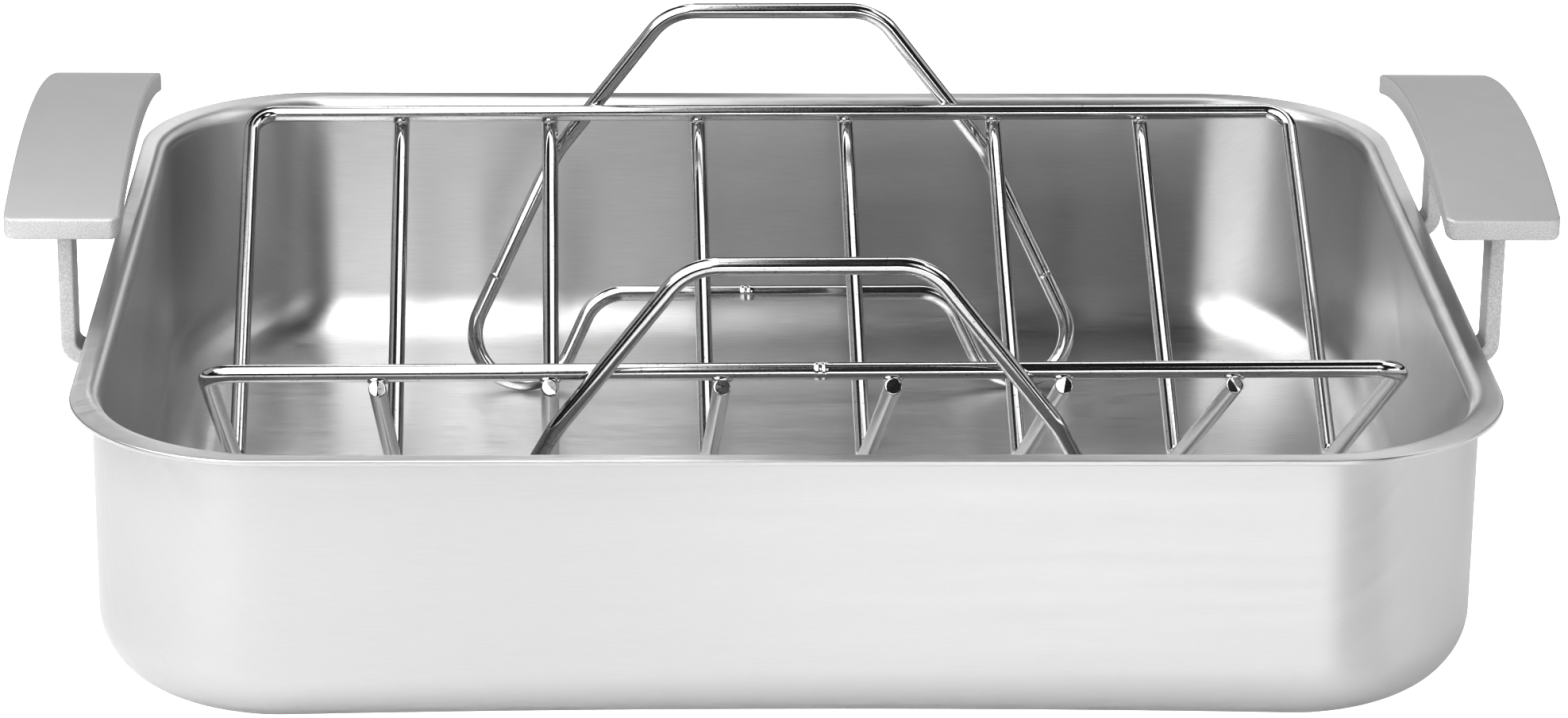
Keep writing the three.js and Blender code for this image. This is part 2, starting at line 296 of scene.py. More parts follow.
def pan_profile(pan):
    """The wall's section as (inset from the rim's edge, height), from the base's outer round to the floor."""
    inner = pan.overhang + pan.wall
    inner_round = pan.base_round - pan.wall
    shoulder = inner - pan.flat_band
    underside = pan.height - pan.lip
    base, under, lip = pan.base_round, pan.under_round, pan.lip_round
    outer = [
        arc((pan.overhang + base, base), base, 270, 180, BASE_STEPS),
        straight((pan.overhang, base), (pan.overhang, underside - under), WALL_STEPS),
        arc((pan.overhang - under, underside - under), under, 0, 90, UNDER_STEPS),
        arc((lip, underside + lip), lip, 270, 180, LIP_STEPS),
    ]
    inside = [
        arc((lip, pan.height - lip), lip, 180, 90, LIP_STEPS),
        straight((lip, pan.height), (pan.flat_band, pan.height), BAND_STEPS),
        arc((pan.flat_band, pan.height - shoulder), shoulder, 90, 0, SHOULDER_STEPS),
        straight((inner, pan.height - shoulder), (inner, pan.floor + inner_round), WALL_STEPS),
        arc((inner + inner_round, pan.floor + inner_round), inner_round, 180, 270, BASE_STEPS),
    ]
    return np.concatenate(outer), np.concatenate(inside)


def rim_track():
    """One turn round the rim: each point's outward angle, and the signs of the corner that it turns about.

    Round a corner the angle sweeps a quarter turn. Along a side it rests while the middle slides on.
    """
    signs = np.array([(1, 1), (-1, 1), (-1, -1), (1, -1)])
    sweep = np.linspace(0, 1, CORNER_STEPS + 1)
    slide = straight(0, 1, SIDE_STEPS)
    quarter = np.arange(4)[:, None]
    turning = (quarter + sweep) * np.pi / 2
    resting = np.repeat((quarter + 1) * np.pi / 2, len(slide), axis=1)
    middles = np.repeat(signs[:, None, :], len(sweep), axis=1)
    step = np.roll(signs, -1, axis=0) - signs
    sliding = signs[:, None, :] + slide[None, :, None] * step[:, None, :]
    angle = np.concatenate([turning, resting], axis=1).ravel()
    middle = np.concatenate([middles, sliding], axis=1).reshape(-1, 2)
    return angle, middle


def drawn_sheet(section, start, outward):
    """Where a wall lay on its flat sheet: out from the floor's edge by the distance run along the section."""
    return start[None] + distance_run(section)[:, None, None] * outward[None]


def pan_surface(pan):
    """Rounded rectangles, one for each point of the section: corner's middle + radius x outward direction.

    The base and the floor go on inwards as the last rectangle scaled down to a pole. The outside of the base
    lifts by the bow, which fades as a parabola towards the corners and as a smooth step up the wall.
    """
    outer, inside = pan_profile(pan)
    section = np.concatenate([outer, inside])
    angle, middle = rim_track()
    outward = np.stack([np.cos(angle), np.sin(angle)], -1)
    inset = section[:, 0]
    corner = pan.rim_corner - np.maximum(0, inset - pan.overhang)
    rim = np.array([pan.rim_length, pan.rim_width])
    half = rim / 2 - inset[:, None] - corner[:, None]
    plan = middle[None] * half[:, None] + corner[:, None, None] * outward[None]
    height = np.repeat(section[:, 1:2], len(angle), axis=1)
    walls = np.concatenate([plan, height[..., None]], -1)
    scale = straight(0, 1, FLOOR_STEPS)[:, None, None]
    flat = np.zeros((len(scale), len(angle), 1))
    under = np.concatenate([plan[0] * scale, flat], -1)
    over = np.concatenate([plan[-1] * scale[::-1], flat + pan.floor], -1)
    rows = np.concatenate([under, walls, over])
    outside = len(under) + len(outer)
    straight_half = pan.rim_length / 2 - pan.rim_corner
    spread = np.clip(1 - (rows[:outside, :, 0] / straight_half) ** 2, 0, 1)
    fade = np.clip(1 - rows[:outside, :, 2] / (BOW_REACH * pan.base_round), 0, 1)
    rows[:outside, :, 2] += pan.base_bow * spread * fade * fade * (3 - 2 * fade)
    poles = np.array([(0, 0, pan.base_bow), (0, 0, pan.floor)])
    sheet = np.concatenate([
        under[..., :2],
        drawn_sheet(outer, plan[0], outward),
        drawn_sheet(inside[::-1], plan[-1], outward)[::-1],
        over[..., :2],
    ]).reshape(-1, 2)
    sheet = np.concatenate([sheet, np.zeros((2, 2))])[:, ::-1]
    return *closed_rows(rows, poles), sheet


class ROASTER_OT_pan(bpy.types.Operator):
    """Build the drawn pan with its flared rim"""

    bl_idname = "roaster.pan"
    bl_label = "Pan"

    def execute(self, context):
        pan = context.scene.roaster_pan
        points, faces, sheet = pan_surface(pan)
        material = brushed_steel(pan)
        add_piece("pan_tray", points, faces, material, "pan", ["pan"], sheet=sheet)
        return {"FINISHED"}


# Handles

GRIP_ROUND_STEPS = 8
GRIP_END_STEPS = 14
GRIP_STEPS = 48
POST_ROUND_STEPS = 6
POST_STEPS = 5
FOOT_STEPS = 12
WELD_STEPS = 8


def rounded_loops(width, thickness, upper, lower, steps, growth):
    """Rounded rectangles as loops of (across, up), one for each row of growth, which adds to half sizes."""
    w, t = half = np.array([width, thickness]) / 2
    section = np.concatenate([
        arc((w - upper, t - upper), upper, 0, 90, steps),
        arc((upper - w, t - upper), upper, 90, 180, steps),
        arc((lower - w, lower - t), lower, 180, 270, steps),
        arc((w - lower, lower - t), lower, 270, 360, steps),
    ])
    return section[None] * ((half + growth) / half)[:, None]


def quarter_turn(steps):
    """Angles from nought to a right angle."""
    return np.radians(np.linspace(0, 90, steps + 1))


def grip_arch(handle, pan):
    """The grip's upper arc: its radius, the height of its middle, and its distance from the pan's middle."""
    half = handle.grip_length / 2
    radius = (half * half + handle.arch * handle.arch) / (2 * handle.arch)
    centre = pan.height + handle.lift - math.sqrt(radius * radius - half * half)
    return radius, centre, pan.rim_length / 2 + handle.rim_gap + handle.post_thickness / 2


def grip_surface(handle, pan):
    """A rounded section carried along the grip, drawn in at both ends by quarter rounds, then arched.

    A point at y lies between the arch's lower and upper arcs at its share of the thickness. The lower arc
    hangs by belly * (1 - (y / half)^2).
    """
    half = handle.grip_length / 2
    radius, centre, middle = grip_arch(handle, pan)
    thickness = handle.grip_thickness
    corner, edge = handle.corner_round, handle.end_round
    ends = half - corner + corner * np.cos(quarter_turn(GRIP_END_STEPS))
    body = straight(half - corner, corner - half, GRIP_STEPS)
    along = np.concatenate([ends, body, -ends[::-1]])
    narrow = corner - np.sqrt(corner**2 - np.maximum(np.abs(along) - half + corner, 0) ** 2)
    thin = edge - np.sqrt(edge**2 - np.clip(np.abs(along) - half + edge, 0, edge) ** 2)
    growth = -np.stack([narrow, thin], -1)
    rounds = handle.top_round, handle.lower_round
    loops = rounded_loops(handle.grip_width, thickness, *rounds, GRIP_ROUND_STEPS, growth)
    y = np.repeat(along[:, None], loops.shape[1], axis=1)
    lower = radius - thickness
    low = centre + np.sqrt(lower * lower - y * y) - handle.belly * (1 - (y / half) ** 2)
    high = centre + np.sqrt(radius * radius - y * y)
    z = low + (high - low) * (loops[..., 1] / thickness + 0.5)
    return closed_rows(np.stack([middle + loops[..., 0], y, z], -1))


def post_surface(handle, pan, side):
    """A rounded section carried down a post, round the bend in its foot and in to the pan's wall.

    Near the wall it grows by weld - sqrt(weld^2 - (weld - distance)^2), the hollow round of the weld.
    """
    radius, centre, middle = grip_arch(handle, pan)
    width, thickness = handle.post_width, handle.post_thickness
    far = handle.post_spacing / 2 + width / 2
    top = centre + math.sqrt((radius - handle.grip_thickness / 2) ** 2 - far * far)
    bend = handle.foot_bend + thickness / 2
    foot = pan.height - handle.foot_drop - thickness / 2
    wall = pan.rim_length / 2 - pan.overhang
    turn = quarter_turn(FOOT_STEPS)
    down = np.linspace((middle, top), (middle, foot + bend), POST_STEPS + 1)[:-1]
    round_foot = arc((middle - bend, foot + bend), bend, 0, -90, FOOT_STEPS)
    weld = handle.foot_weld
    near = weld - weld * np.sin(quarter_turn(WELD_STEPS))
    inward = np.stack([wall + near, np.full(len(near), foot)], -1)
    track = np.concatenate([down, round_foot, inward])
    heading = np.pad(turn, (len(down), len(inward)), "edge")
    out = np.stack([np.cos(heading), -np.sin(heading)], -1)
    growth = np.zeros((len(track), 1))
    growth[-len(near) :, 0] = weld - np.sqrt(weld**2 - (weld - near) ** 2)
    rounds = handle.post_round, handle.post_round
    loops = rounded_loops(width, thickness, *rounds, POST_ROUND_STEPS, growth)
    x = track[:, None, 0] + out[:, None, 0] * loops[..., 1]
    z = track[:, None, 1] + out[:, None, 1] * loops[..., 1]
    y = side * handle.post_spacing / 2 + loops[..., 0]
    return closed_rows(np.stack([x, y, z], -1))


def joined(parts):
    """Several closed surfaces as one set of points and faces."""
    points = np.concatenate([part[0] for part in parts])
    starts = np.cumsum([0] + [len(part[0]) for part in parts[:-1]])
    faces = [face + start for part, start in zip(parts, starts) for face in part[1]]
    return points, faces


def united(parts):
    """Closed surfaces that run into each other as one: its points, and its faces by their corner count."""
    solids = [add_object("part", new_mesh("part", *part)) for part in parts]
    for solid in solids[1:]:
        union = solids[0].modifiers.new("union", "BOOLEAN")
        union.operation, union.solver, union.object = "UNION", "EXACT", solid
    depsgraph = bpy.context.evaluated_depsgraph_get()
    whole = bpy.data.meshes.new_from_object(solids[0].evaluated_get(depsgraph))
    points = mesh_values(whole.vertices, "co", float, 3)
    corner = mesh_values(whole.loops, "vertex_index")
    start = mesh_values(whole.polygons, "loop_start")
    count = mesh_values(whole.polygons, "loop_total")
    faces = [corner[start[count == n][:, None] + np.arange(n)] for n in np.unique(count)]
    for mesh in [whole] + [solid.data for solid in solids]:
        bpy.data.meshes.remove(mesh)
    return points.reshape(-1, 3), faces


class ROASTER_OT_handles(bpy.types.Operator):
    """Build the two cast handles, each an arched grip on two posts"""

    bl_idname = "roaster.handles"
    bl_label = "Handles"

    def execute(self, context):
        handle, pan = context.scene.roaster_handle, context.scene.roaster_pan
        material = blasted_steel_painted_light(handle)
        posts = [post_surface(handle, pan, side) for side in (-1, 1)]
        points, faces = united([grip_surface(handle, pan), *posts])
        for name, way in (("handle_right", 1), ("handle_left", -1)):
            placed = points * (way, way, 1)
            add_piece(name + "_cast", placed, faces, material, "pan", [name])
        return {"FINISHED"}


# Rack

UP = np.array([0, 0, 1.0])
BACK = np.array([0, 1.0, 0])
RIGHT = np.array([1.0, 0, 0])
WIRE_SIDES = 28
WIRE_ANGLE = np.arange(WIRE_SIDES) * 2 * np.pi / WIRE_SIDES
BEND_STEP = math.radians(5)

# A butt weld: how far its changes reach, where its collar is highest, and the collar's breadth
SEAM_REACH = 0.0035
COLLAR_PLACE = 0.0009
COLLAR_BREADTH = 0.0006

# A cut end: the round along its edge, how steeply half of it is bent back, and the turn from wire to wire
CUT_ROUND = 0.0004
CUT_BEND = 0.22
CUT_TURN = 2.4

# A bending tool's mark: its step, how far the pressed part runs down, and the lip's place and breadth
MARK_REACH = 0.0015
MARK_STEP = 0.0004
MARK_RUN = 0.022
LIP_PLACE = 0.0005
LIP_BREADTH = 0.0003

# Half sizes of the weld beads: along the rail, along the crossing wire and between the two
WIRE_BEAD = (0.0029, 0.0024, 0.0011)
LOOP_BEAD = (0.0034, 0.0032, 0.0012)
BEAD_SIDES = 24
BEAD_ROWS = 13


def bent_path(corners, radii):
    """Points and directions along straight runs whose corners are rounded by arcs of the given radii."""
    corners = np.asarray(corners, float)
    runs = np.diff(corners, axis=0)
    lengths = np.linalg.norm(runs, axis=1)
    ways = runs / lengths[:, None]
    turns = np.arccos(np.clip((ways[:-1] * ways[1:]).sum(1), -1, 1))
    radii = np.asarray(radii, float)
    setbacks = np.concatenate([[0], radii * np.tan(turns / 2), [0]])
    room = lengths / np.maximum(setbacks[:-1] + setbacks[1:], 1e-9)
    radii = radii * np.minimum(1, np.minimum(room[:-1], room[1:]))
    points, tangents = [corners[:1]], [ways[:1]]
    for corner, into, out, turn, radius in zip(corners[1:-1], ways[:-1], ways[1:], turns, radii):
        inward = out - (out @ into) * into
        inward = inward / np.linalg.norm(inward)
        angle = np.linspace(0, turn, max(3, math.ceil(turn / BEND_STEP)))[:, None]
        start = corner - into * radius * math.tan(turn / 2)
        points.append(start + radius * (np.sin(angle) * into + (1 - np.cos(angle)) * inward))
        tangents.append(np.cos(angle) * into + np.sin(angle) * inward)
    points.append(corners[-1:])
    tangents.append(ways[-1:])
    points, tangents = np.concatenate(points), np.concatenate(tangents)
    apart = np.concatenate([[True], np.linalg.norm(np.diff(points, axis=0), axis=1) > 1e-6])
    return points[apart], tangents[apart]


def wire_surface(points, tangents, radius, upright, closed, shear=None):
    """A round section carried along a path: point + radius x (cos a x normal + sin a x binormal).

    The normal is the part of upright that is square to the path. radius has a row for each point of the path,
    with one value or one for each side. shear moves points along the path. The grain holds a point's place on
    the unit section and its distance along the wire.
    """
    cosine, sine = np.cos(WIRE_ANGLE), np.sin(WIRE_ANGLE)
    normal = upright - (tangents @ upright)[:, None] * tangents
    normal = normal / np.linalg.norm(normal, axis=1)[:, None]
    binormal = np.cross(tangents, normal)
    ring = cosine[None, :, None] * normal[:, None] + sine[None, :, None] * binormal[:, None]
    rows = points[:, None] + radius[..., None] * ring
    if shear is not None:
        rows = rows + shear[..., None] * tangents[:, None]
    run = np.repeat(distance_run(points)[:, None], WIRE_SIDES, axis=1)
    across = np.broadcast_to(np.stack([cosine, sine], -1), (len(points), WIRE_SIDES, 2))
    grain = np.concatenate([across, run[..., None]], -1).reshape(-1, 3)
    if closed:
        return rows.reshape(-1, 3), [loop_faces(len(points), WIRE_SIDES, True)], grain
    grain = np.concatenate([grain, [(0, 0, 0), (0, 0, run[-1, 0])]])
    return *closed_rows(rows, points[[0, -1]]), grain


def repeat_ends(values, first, last):
    """Values along a path with its first and last ones repeated so many times."""
    return np.repeat(values, [first] + [1] * (len(values) - 2) + [last], axis=0)


def with_seam(points, tangents, rack):
    """Adds points on both sides of a closed wire's seam and gives the radius its butt weld's uneven swell."""
    near = np.linspace(0, 1, 13) ** 1.3 * SEAM_REACH
    first = points[0] + tangents[0] * near[:, None]
    last = points[-1] - tangents[-1] * near[:0:-1, None]
    ways = repeat_ends(tangents, len(near), len(near) - 1)
    offset = np.concatenate([near, np.full(len(points) - 2, SEAM_REACH), -near[:0:-1]])
    collar = np.exp(-((np.abs(offset) - COLLAR_PLACE) / COLLAR_BREADTH) ** 2)
    lumps = 0.75 + 0.25 * np.cos(3 * WIRE_ANGLE[None] + 900 * offset[:, None])
    radius = rack.wire / 2 + rack.seam_swell * collar[:, None] * lumps
    return np.concatenate([first, points[1:-1], last]), ways, radius


def frame_path(rack):
    """The frame's closed wire, from its seam in the front rail round both V-shaped ends and back."""
    end, side, lift = rack.rack_length / 2, rack.rack_width / 2, rack.rail_lift
    seam = (rack.frame_seam, -side, lift)
    right = np.array([(end, -side, lift), (end, 0, lift - rack.depth), (end, side, lift)])
    corners = [seam, *right, *right * (-1, -1, 1), seam]
    return bent_path(corners, [rack.frame_bend, rack.vertex_bend, rack.frame_bend] * 2)


def add_rack_piece(scene, name, surface, faces, nodes, grain=None):
    """A piece of bright wire, moved from the rack's own frame to where the rack stands on the pan's floor."""
    rack = scene.roaster_rack
    c, s = math.cos(rack.turn), math.sin(rack.turn)
    turned = surface @ np.array([(c, s, 0), (-s, c, 0), (0, 0, 1)])
    placed = turned + (rack.shift, 0, scene.roaster_pan.floor)
    add_piece(name, placed, faces, bright_wire(rack), "rack", nodes, grain)


class ROASTER_OT_rack_frame(bpy.types.Operator):
    """Build the rack's frame, one closed wire with two rails and two V-shaped ends"""

    bl_idname = "roaster.rack_frame"
    bl_label = "Rack frame"

    def execute(self, context):
        rack = context.scene.roaster_rack
        wire = with_seam(*frame_path(rack), rack)
        surface, faces, grain = wire_surface(*wire, UP, True)
        add_rack_piece(context.scene, "rack_frame_wire", surface, faces, ["rack_frame"], grain)
        return {"FINISHED"}


def wire_places(rack):
    """Where the cross wires stand along the rack."""
    return rack.rack_length * (np.arange(1, rack.cross_wires + 1) / (rack.cross_wires + 1) - 0.5)


def wire_slope(rack):
    """A cross wire's distance from its rail, its run from the bottom of the V to the weld, and its slope."""
    apart = rack.wire - rack.weld_sink
    side, depth = rack.rack_width / 2, rack.depth
    reach = math.hypot(side, depth)
    slope = math.atan2(depth, side) - math.asin(apart / reach)
    return apart, math.sqrt(reach * reach - apart * apart), slope


def cross_wire_path(rack, x):
    """A cross wire: a V that passes under both rails at the weld's distance and stands proud of them."""
    _, run, slope = wire_slope(rack)
    run += rack.wire_overhang
    bottom = rack.rail_lift - rack.depth
    y, z = run * math.cos(slope), bottom + run * math.sin(slope)
    return bent_path([(x, -y, z), (x, 0, bottom), (x, y, z)], [rack.vertex_bend])


def with_cut_ends(points, tangents, rack, turn):
    """Adds points near a wire's ends, where its radius closes in to the rounded edge and the face of the cut.

    Half of each face is bent back by the shear: at share r of the radius and angle a, a point there lies
    bend x radius x max(0, r x cos(a - turn)) behind the other half.
    """
    wire = rack.wire / 2
    edge = CUT_ROUND / wire
    quarter = quarter_turn(4)
    share = np.concatenate([np.linspace(0.1, 0.9, 5) * (1 - edge), 1 - edge * (1 - np.sin(quarter))])
    behind = np.concatenate([np.zeros(5), CUT_ROUND * (1 - np.cos(quarter))])
    first = points[0] + tangents[0] * behind[:, None]
    last = points[-1] - tangents[-1] * behind[::-1, None]
    middle = np.ones(len(points) - 2)
    radius = wire * np.concatenate([share, middle, share[::-1]])
    slant = CUT_BEND * wire * np.maximum(0, share[:, None] * np.cos(WIRE_ANGLE - turn))
    shear = np.concatenate([slant, np.zeros((len(middle), WIRE_SIDES)), -slant[::-1, ::-1]])
    ways = repeat_ends(tangents, len(share), len(share))
    return np.concatenate([first, points[1:-1], last]), ways, radius[:, None], shear


class ROASTER_OT_cross_wires(bpy.types.Operator):
    """Build the V-shaped cross wires with their cut ends"""

    bl_idname = "roaster.cross_wires"
    bl_label = "Cross wires"

    def execute(self, context):
        rack = context.scene.roaster_rack
        for i, x in enumerate(wire_places(rack)):
            *wire, shear = with_cut_ends(*cross_wire_path(rack, x), rack, CUT_TURN * i)
            surface, faces, grain = wire_surface(*wire, RIGHT, False, shear)
            name = f"cross_wire_{i + 1}"
            add_rack_piece(context.scene, name + "_bar", surface, faces, [name], grain)
        return {"FINISHED"}


def foot_reach(sideways, height, radius):
    """How far past a foot's middle a leg's line meets the floor line, where the foot's arc touches both."""
    tangent = math.sqrt(sideways * sideways + height * height - 2 * height * radius)
    return height * radius / (tangent - sideways)


def loop_flare(loop):
    """How fast the carrying handle widens on its way down."""
    return (loop.rail_width - loop.top_width) / 2 / loop.rise


def loop_path(loop, rack):
    """The back leg loop's closed wire, from its seam in the bar: bar, feet, legs and carrying handle."""
    side = rack.rack_width / 2
    weld = side + rack.wire - rack.weld_sink
    flare = loop_flare(loop)
    lean = loop.lean / loop.rise
    top = np.array([loop.top_width / 2, weld + loop.lean, rack.rail_lift + loop.rise])
    drop = loop.kink_drop
    kink = np.array([loop.rail_width / 2 + flare * drop, weld - lean * drop, rack.rail_lift - drop])
    foot = np.array([loop.foot_spacing / 2, side - loop.foot_inset, loop.clearance + rack.wire / 2])
    leg = math.hypot(*(kink - foot)[1:])
    bar = foot + (kink - foot) * loop.bar_rise / leg
    bar[0] = loop.bar_width / 2
    outer, inner = foot.copy(), foot.copy()
    outer[0] += foot_reach(foot[0] - kink[0], leg, loop.foot_radius)
    inner[0] -= foot_reach(bar[0] - foot[0], loop.bar_rise, loop.foot_radius)
    half = np.stack([bar, inner, outer, kink, top])
    seam = (-loop.seam, *bar[1:])
    corners = np.concatenate([[seam], half, (half * (-1, 1, 1))[::-1], [seam]])
    radii = [loop.bar_bend, loop.foot_radius, loop.foot_radius, loop.kink_bend, loop.top_bend]
    return bent_path(corners, radii + radii[::-1])


def with_tool_marks(points, tangents, radius, loop):
    """Adds points round the bending tool's mark on each leg and gives the radius its shape there.

    Below the mark the rack's side of the leg is pressed in by a depth that fades out towards the foot. A lip
    half as high stands above it.
    """
    near = np.linspace(-1, 1, 17) * MARK_REACH
    height = points[:, 2] - loop.mark_lift
    for row in np.flatnonzero(height[:-1] * height[1:] < 0)[::-1]:
        share = np.sort((near - height[row]) / (height[row + 1] - height[row]))[:, None]
        leg = points[row] + share * (points[row + 1] - points[row])
        source = np.insert(np.arange(len(points)), row + 1, [row] * len(leg))
        points = np.insert(points, row + 1, leg, axis=0)
        tangents, radius = tangents[source], radius[source]
    height = points[:, 2] - loop.mark_lift
    outer = np.abs(points[:, 0]) > loop.foot_spacing / 2
    pressed = np.clip(0.5 - height / MARK_STEP, 0, 1) * np.clip(1 + height / MARK_RUN, 0, 1)
    lip = 0.5 * np.exp(-(((height - LIP_PLACE) / LIP_BREADTH) ** 2))
    inner_side = np.clip(-np.cos(WIRE_ANGLE), 0, 1) ** 0.5
    change = loop.mark_depth * np.where(outer, lip - pressed, 0)
    return points, tangents, radius + change[:, None] * inner_side


class ROASTER_OT_leg_loops(bpy.types.Operator):
    """Build the two leg loops, each one wire that is carrying handle, legs, feet and stiffening bar"""

    bl_idname = "roaster.leg_loops"
    bl_label = "Leg loops"

    def execute(self, context):
        rack, loop = context.scene.roaster_rack, context.scene.roaster_loop
        wire = with_tool_marks(*with_seam(*loop_path(loop, rack), rack), loop)
        surface, faces, grain = wire_surface(*wire, BACK, True)
        for name, way in (("leg_loop_back", 1), ("leg_loop_front", -1)):
            turned = surface * (way, way, 1)
            add_rack_piece(context.scene, name + "_wire", turned, faces, [name], grain)
        return {"FINISHED"}


def bead_surface(middle, along, across, size):
    """A weld bead pressed flat between two wires: a squashed ball whose rim swells in three soft lobes.

    The ball's point at turn t and height h is cos h x (along x cos t + across x sin t) + normal x sin h.
    """
    normal = np.cross(along, across)
    rise = size[2] * normal / np.linalg.norm(normal)
    turn = np.arange(BEAD_SIDES) * 2 * np.pi / BEAD_SIDES
    height = np.radians(np.linspace(-80, 80, BEAD_ROWS))
    rim = np.cos(height)[:, None] ** 0.7 * (1 + 0.09 * np.cos(3 * turn + 1)[None])
    cosine, sine = np.cos(turn)[None, :, None], np.sin(turn)[None, :, None]
    flat = rim[..., None] * (size[0] * cosine * along + size[1] * sine * across)
    rows = middle + flat + np.sin(height)[:, None, None] * rise
    return closed_rows(rows, np.stack([middle - rise, middle + rise]))


def wire_beads(rack):
    """The beads between the rails and the cross wires, one at each crossing."""
    apart, _, slope = wire_slope(rack)
    cosine, sine = math.cos(slope), math.sin(slope)
    beads = []
    for x in wire_places(rack):
        for way in (-1, 1):
            down = np.array([0, way * sine, -cosine])
            middle = np.array([x, way * rack.rack_width / 2, rack.rail_lift]) + down * apart / 2
            wire = np.array([0, cosine, way * sine])
            beads.append(bead_surface(middle, RIGHT, wire, WIRE_BEAD))
    return beads


def loop_beads(rack, loop):
    """The beads between the rails and the leg loops, two on each rail."""
    weld = (rack.rack_width + rack.wire) / 2
    flare = loop_flare(loop)
    beads = []
    for way in (-1, 1):
        for end in (-1, 1):
            middle = np.array([end * loop.rail_width / 2, way * weld, rack.rail_lift])
            leg = np.array([end * flare, 0, -1]) / math.hypot(flare, 1)
            beads.append(bead_surface(middle, RIGHT, leg, LOOP_BEAD))
    return beads


class ROASTER_OT_welds(bpy.types.Operator):
    """Build the weld beads between the rails and the wires that cross them"""

    bl_idname = "roaster.welds"
    bl_label = "Welds"

    def execute(self, context):
        rack, loop = context.scene.roaster_rack, context.scene.roaster_loop
        points, faces = joined(wire_beads(rack) + loop_beads(rack, loop))
        add_rack_piece(context.scene, "rail_welds", points, faces, [])
        return {"FINISHED"}


# Materials

# Where most of a noise texture's values lie
NOISE_LOW, NOISE_HIGH = 0.3, 0.7

# How often the noise repeats in a metre: across and along the brushing, or on the section and along the wire
BRUSHING = (2300, 75, 1)
DRAWING = (5, 5, 40)
BLAST_GRAINS = 2400
BLAST_CLOUDS = 90
WIRE_SPECKS = 1300

# How far a surface's plane is from the pan's middle, less than nought where it faces inwards
INNER_WALL = (-0.14, -0.05)
OUTER_WALL = (0.09, 0.14)

# How steeply a cast face looks up or down, from a broad face to a side: it sets where the sparkle and the
# painted light on the sides come in
BROAD_TO_SIDE = (0.8, 0.4)


def feed(tree, node, inputs):
    """Sets a node's inputs, by name or position, to values or links them to sockets."""
    for key, value in inputs.items():
        if isinstance(value, bpy.types.NodeSocket):
            tree.links.new(value, node.inputs[key])
        else:
            node.inputs[key].default_value = value


def add_node(tree, kind, inputs=None, **properties):
    """A node of that kind with its properties set and its inputs fed."""
    node = tree.nodes.new(kind)
    for name, value in properties.items():
        setattr(node, name, value)
    feed(tree, node, inputs or {})
    return node


def node_material(name):
    """A new material, its node tree and its shader."""
    material = bpy.data.materials.new(name)
    material.use_nodes = True
    return material, material.node_tree, material.node_tree.nodes["Principled BSDF"]


def noise(tree, vector, scale, detail, roughness=0.5):
    """The value of a noise texture at a vector."""
    inputs = {"Vector": vector, "Scale": scale, "Detail": detail, "Roughness": roughness}
    return add_node(tree, "ShaderNodeTexNoise", inputs).outputs["Fac"]


def streak_group():
    """Node group: streaks along one direction, as two values round one half, fine lines and broad bands."""
    name = "Worked metal streaks"
    if name in bpy.data.node_groups:
        return bpy.data.node_groups[name]
    group = bpy.data.node_groups.new(name, "ShaderNodeTree")
    group.interface.new_socket("Vector", in_out="INPUT", socket_type="NodeSocketVector")
    for socket in ("Lines", "Bands"):
        group.interface.new_socket(socket, in_out="OUTPUT", socket_type="NodeSocketFloat")
    vector = add_node(group, "NodeGroupInput").outputs["Vector"]
    lines = noise(group, vector, 1.0, 4.0, 0.6)
    bands = noise(group, vector, 0.12, 3.0, 0.6)
    add_node(group, "NodeGroupOutput", {"Lines": lines, "Bands": bands})
    return group


def streaks(tree, vector, scale):
    """The lines and the bands of the streak group at a scaled vector."""
    mapping = add_node(tree, "ShaderNodeMapping", {"Vector": vector, "Scale": scale})
    inputs = {"Vector": mapping.outputs["Vector"]}
    group = add_node(tree, "ShaderNodeGroup", inputs, node_tree=streak_group())
    return group.outputs["Lines"], group.outputs["Bands"]


def ranged(tree, source, low, high, start=NOISE_LOW, stop=NOISE_HIGH, curve="LINEAR"):
    """A value that goes from low to high as its source goes from start to stop."""
    inputs = {"Value": source, "From Min": start, "From Max": stop, "To Min": low, "To Max": high}
    return add_node(tree, "ShaderNodeMapRange", inputs, interpolation_type=curve).outputs["Result"]


def smooth_step(tree, source, start, stop, low, high):
    """A value that goes smoothly from low to high as its source goes from start to stop."""
    return ranged(tree, source, low, high, start, stop, "SMOOTHSTEP")


def math_node(tree, operation, *values):
    """The result of an operation on one value or two."""
    return add_node(tree, "ShaderNodeMath", dict(enumerate(values)), operation=operation).outputs["Value"]


def tinted(tree, metal, tone):
    """A metal's colour times a tone that varies over the surface."""
    inputs = {"Vector": metal, "Scale": tone}
    return add_node(tree, "ShaderNodeVectorMath", inputs, operation="SCALE").outputs["Vector"]


def bumped(tree, height, strength, distance):
    """A normal that follows a height."""
    inputs = {"Strength": strength, "Distance": distance, "Height": height}
    return add_node(tree, "ShaderNodeBump", inputs).outputs["Normal"]


